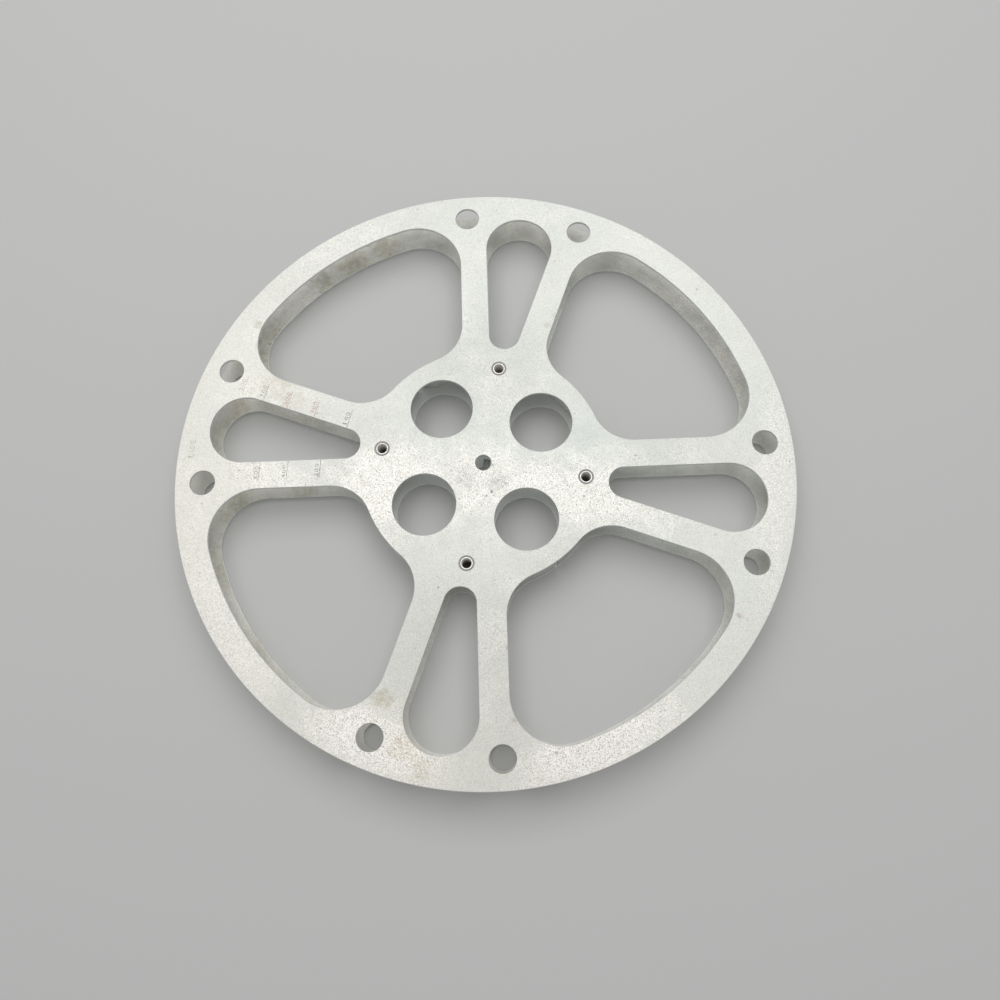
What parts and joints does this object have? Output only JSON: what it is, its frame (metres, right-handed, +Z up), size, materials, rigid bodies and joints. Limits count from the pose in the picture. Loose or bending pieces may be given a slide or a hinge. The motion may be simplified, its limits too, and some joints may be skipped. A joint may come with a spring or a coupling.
{
  "type": "cine film reel",
  "caption": "Large metal cine film reel lying flat: pierced flanges with windows, teardrop slots and round holes, riveted to a slotted core around a spindle hole.",
  "frame": {"origin": "on the spindle axis, in the rear flange's outer face, which the reel lies on", "axes": "+Z up along the spindle axis, from the rear flange to the front flange; +X and +Y along two of the spokes, +Y along the keyway"},
  "size_m": [0.3112, 0.3112, 0.0202],
  "materials": {
    "flange_metal": "dull, finely pitted and stained sheet",
    "core_metal": "dull cast metal",
    "rivet_metal": "bright rolled ends, dark inside"
  },
  "bodies": {
    "root": {"rear_flange": "flange_metal", "front_flange": "flange_metal", "core_half_right": "core_metal", "core_half_left": "core_metal", "rivet_right": "rivet_metal", "rivet_upper": "rivet_metal", "rivet_left": "rivet_metal", "rivet_lower": "rivet_metal"}
  },
  "joints": []
}
